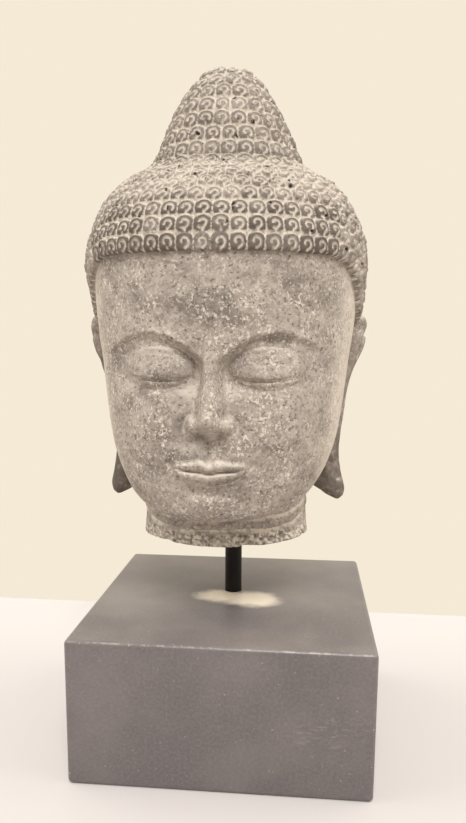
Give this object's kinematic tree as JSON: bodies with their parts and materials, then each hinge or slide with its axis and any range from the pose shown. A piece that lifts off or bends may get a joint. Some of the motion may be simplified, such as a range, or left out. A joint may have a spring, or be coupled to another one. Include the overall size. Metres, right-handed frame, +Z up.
{
  "type": "stone buddha head on stand",
  "caption": "Carved stone Buddha head with curled hair and long ear lobes, held up by a steel rod on a square stone block.",
  "frame": {"origin": "centre of the block's underside", "axes": "+Z up; the face looks along -Y; +X is to the right of a person who looks at the face"},
  "size_m": [0.2114, 0.2308, 0.4769],
  "materials": {
    "carved_stone": "carved, weathered, dusty in the hollows",
    "black_steel": "blackened, satin",
    "block_stone": "honed, matte, slightly scuffed"
  },
  "bodies": {
    "root": {"head": "carved_stone", "rod": "black_steel", "block": "block_stone"}
  },
  "joints": []
}
